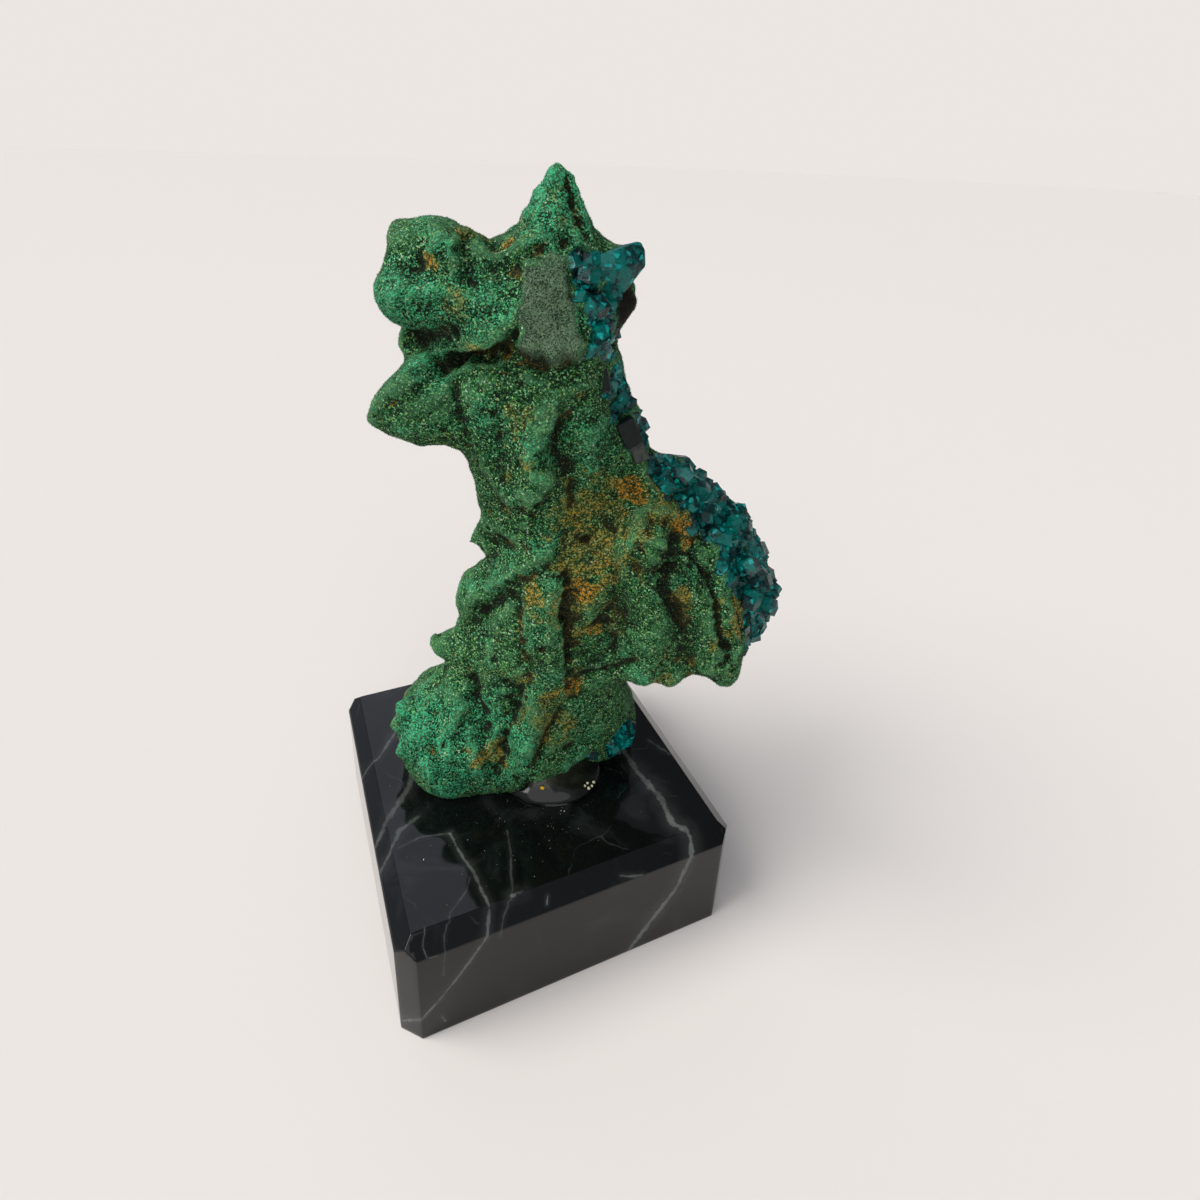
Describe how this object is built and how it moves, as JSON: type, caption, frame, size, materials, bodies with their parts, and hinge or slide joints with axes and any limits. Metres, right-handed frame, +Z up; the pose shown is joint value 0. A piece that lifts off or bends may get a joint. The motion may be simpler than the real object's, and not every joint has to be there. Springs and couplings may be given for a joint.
{
  "type": "dioptase with malachite freeform",
  "caption": "Rough velvety green malachite freeform with a teal dioptase crystal crust down one side, standing on a square black marble plinth held by a clear adhesive bead.",
  "frame": {"origin": "centre of the plinth's flat underside", "axes": "+Z up out of the plinth, +X along the plinth's front edge towards the side the dioptase wing leans over, +Y to the plinth's back"},
  "size_m": [0.0967, 0.08, 0.1731],
  "materials": {
    "marble": "polished",
    "malachite": "matte",
    "dioptase": "gloss",
    "adhesive": "gloss"
  },
  "bodies": {
    "root": {"plinth": "marble", "specimen": "malachite", "adhesive_bead": "adhesive"}
  },
  "joints": []
}
